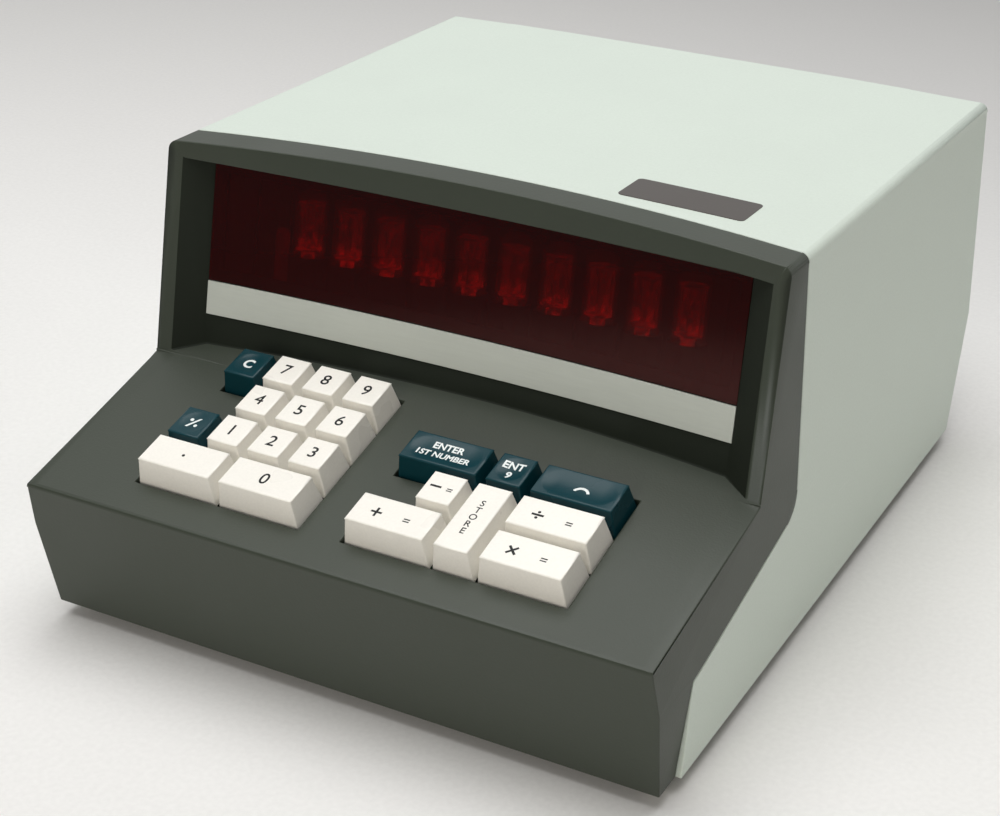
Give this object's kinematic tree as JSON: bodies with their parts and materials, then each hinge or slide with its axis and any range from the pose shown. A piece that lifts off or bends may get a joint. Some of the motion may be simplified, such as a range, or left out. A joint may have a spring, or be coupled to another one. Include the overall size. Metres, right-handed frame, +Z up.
{
  "type": "desktop calculator",
  "caption": "Desktop calculator with a sloped keyboard, a red window over glow tubes, a crowned pale cover and a rear power inlet and switch.",
  "frame": {"origin": "on the table, under the middle of the case", "axes": "+X to the operator's right, +Y to the back, +Z up; the keyboard faces -Y"},
  "size_m": [0.276, 0.335, 0.1756],
  "materials": {
    "dark_moulding": "fine moulded texture",
    "pale_moulding": "fine moulded texture",
    "grey_steel": "painted sheet",
    "rubber": "matte",
    "bright_screw": "zinc plated",
    "red_filter": "polished translucent",
    "silver_strip": "satin anodised",
    "circuit_board": "lacquered",
    "black_plastic": "moulded",
    "tube_glass": "clear",
    "electrode_metal": "oxidised",
    "lamp_glass": "clear",
    "black_sheet": "matte",
    "brass": "plain",
    "blue_plastic": "moulded",
    "rail_plastic": "moulded",
    "laminations": "lacquered",
    "coil_wrap": "wrapped",
    "can_sleeve": "sleeved",
    "red_rocker": "polished",
    "white_key": "moulded",
    "blue_key": "moulded"
  },
  "bodies": {
    "case": {"front_bezel": "dark_moulding", "top_cover": "pale_moulding", "base_pan": "grey_steel", "rear_panel": "dark_moulding", "feet": "rubber", "foot_screws": "bright_screw", "case_screws": "bright_screw", "panel_screws": "bright_screw", "display_window": "red_filter", "name_strip": "silver_strip", "display_board": "circuit_board", "display_screws": "bright_screw", "tube_sockets": "black_plastic", "tube_glass": "tube_glass", "tube_electrodes": "electrode_metal", "indicator_lamp": "lamp_glass", "tube_screen": "black_sheet", "keyboard_board": "circuit_board", "keyboard_screws": "bright_screw", "key_switches": "black_plastic", "board_standoffs": "brass", "backplane": "circuit_board", "card_sockets": "blue_plastic", "logic_cards": "circuit_board", "card_chips": "black_plastic", "card_rails": "rail_plastic", "transformer_core": "laminations", "transformer_coil": "coil_wrap", "power_board": "circuit_board", "smoothing_cans": "can_sleeve", "mains_inlet": "black_plastic", "inlet_pins": "brass", "fuse_holder": "black_plastic", "fuse_cap": "black_plastic", "power_switch": "black_plastic"},
    "key_0_body": {"key_0": "white_key"},
    "key_1_body": {"key_1": "white_key"},
    "key_2_body": {"key_2": "white_key"},
    "key_3_body": {"key_3": "white_key"},
    "key_4_body": {"key_4": "white_key"},
    "key_5_body": {"key_5": "white_key"},
    "key_6_body": {"key_6": "white_key"},
    "key_7_body": {"key_7": "white_key"},
    "key_8_body": {"key_8": "white_key"},
    "key_9_body": {"key_9": "white_key"},
    "key_point_body": {"key_point": "white_key"},
    "key_percent_body": {"key_percent": "blue_key"},
    "key_clear_body": {"key_clear": "blue_key"},
    "key_plus_body": {"key_plus": "white_key"},
    "key_minus_body": {"key_minus": "white_key"},
    "key_times_body": {"key_times": "white_key"},
    "key_divide_body": {"key_divide": "white_key"},
    "key_store_body": {"key_store": "white_key"},
    "key_enter_body": {"key_enter": "blue_key"},
    "key_ent_body": {"key_ent": "blue_key"},
    "key_arc_body": {"key_arc": "blue_key"},
    "rocker": {"power_rocker": "red_rocker"}
  },
  "joints": [
    {"name": "press_0", "type": "slide", "parent": "case", "child": "key_0_body", "axis": [0, 0.225, -0.9744], "range_m": [0, 0.004], "stiffness_N_per_m": 150, "springref_m": -0.003},
    {"name": "press_1", "type": "slide", "parent": "case", "child": "key_1_body", "axis": [0, 0.225, -0.9744], "range_m": [0, 0.004], "stiffness_N_per_m": 150, "springref_m": -0.003},
    {"name": "press_2", "type": "slide", "parent": "case", "child": "key_2_body", "axis": [0, 0.225, -0.9744], "range_m": [0, 0.004], "stiffness_N_per_m": 150, "springref_m": -0.003},
    {"name": "press_3", "type": "slide", "parent": "case", "child": "key_3_body", "axis": [0, 0.225, -0.9744], "range_m": [0, 0.004], "stiffness_N_per_m": 150, "springref_m": -0.003},
    {"name": "press_4", "type": "slide", "parent": "case", "child": "key_4_body", "axis": [0, 0.225, -0.9744], "range_m": [0, 0.004], "stiffness_N_per_m": 150, "springref_m": -0.003},
    {"name": "press_5", "type": "slide", "parent": "case", "child": "key_5_body", "axis": [0, 0.225, -0.9744], "range_m": [0, 0.004], "stiffness_N_per_m": 150, "springref_m": -0.003},
    {"name": "press_6", "type": "slide", "parent": "case", "child": "key_6_body", "axis": [0, 0.225, -0.9744], "range_m": [0, 0.004], "stiffness_N_per_m": 150, "springref_m": -0.003},
    {"name": "press_7", "type": "slide", "parent": "case", "child": "key_7_body", "axis": [0, 0.225, -0.9744], "range_m": [0, 0.004], "stiffness_N_per_m": 150, "springref_m": -0.003},
    {"name": "press_8", "type": "slide", "parent": "case", "child": "key_8_body", "axis": [0, 0.225, -0.9744], "range_m": [0, 0.004], "stiffness_N_per_m": 150, "springref_m": -0.003},
    {"name": "press_9", "type": "slide", "parent": "case", "child": "key_9_body", "axis": [0, 0.225, -0.9744], "range_m": [0, 0.004], "stiffness_N_per_m": 150, "springref_m": -0.003},
    {"name": "press_point", "type": "slide", "parent": "case", "child": "key_point_body", "axis": [0, 0.225, -0.9744], "range_m": [0, 0.004], "stiffness_N_per_m": 150, "springref_m": -0.003},
    {"name": "press_percent", "type": "slide", "parent": "case", "child": "key_percent_body", "axis": [0, 0.225, -0.9744], "range_m": [0, 0.004], "stiffness_N_per_m": 150, "springref_m": -0.003},
    {"name": "press_clear", "type": "slide", "parent": "case", "child": "key_clear_body", "axis": [0, 0.225, -0.9744], "range_m": [0, 0.004], "stiffness_N_per_m": 150, "springref_m": -0.003},
    {"name": "press_plus", "type": "slide", "parent": "case", "child": "key_plus_body", "axis": [0, 0.225, -0.9744], "range_m": [0, 0.004], "stiffness_N_per_m": 150, "springref_m": -0.003},
    {"name": "press_minus", "type": "slide", "parent": "case", "child": "key_minus_body", "axis": [0, 0.225, -0.9744], "range_m": [0, 0.004], "stiffness_N_per_m": 150, "springref_m": -0.003},
    {"name": "press_times", "type": "slide", "parent": "case", "child": "key_times_body", "axis": [0, 0.225, -0.9744], "range_m": [0, 0.004], "stiffness_N_per_m": 150, "springref_m": -0.003},
    {"name": "press_divide", "type": "slide", "parent": "case", "child": "key_divide_body", "axis": [0, 0.225, -0.9744], "range_m": [0, 0.004], "stiffness_N_per_m": 150, "springref_m": -0.003},
    {"name": "press_store", "type": "slide", "parent": "case", "child": "key_store_body", "axis": [0, 0.225, -0.9744], "range_m": [0, 0.004], "stiffness_N_per_m": 150, "springref_m": -0.003},
    {"name": "press_enter", "type": "slide", "parent": "case", "child": "key_enter_body", "axis": [0, 0.225, -0.9744], "range_m": [0, 0.004], "stiffness_N_per_m": 150, "springref_m": -0.003},
    {"name": "press_ent", "type": "slide", "parent": "case", "child": "key_ent_body", "axis": [0, 0.225, -0.9744], "range_m": [0, 0.004], "stiffness_N_per_m": 150, "springref_m": -0.003},
    {"name": "press_arc", "type": "slide", "parent": "case", "child": "key_arc_body", "axis": [0, 0.225, -0.9744], "range_m": [0, 0.004], "stiffness_N_per_m": 150, "springref_m": -0.003},
    {"name": "rocker_turn", "type": "hinge", "parent": "case", "child": "rocker", "pos_m": [0.062, 0.15152, 0.03397], "axis": [1, 0, 0], "range_deg": [0, 24]}
  ]
}
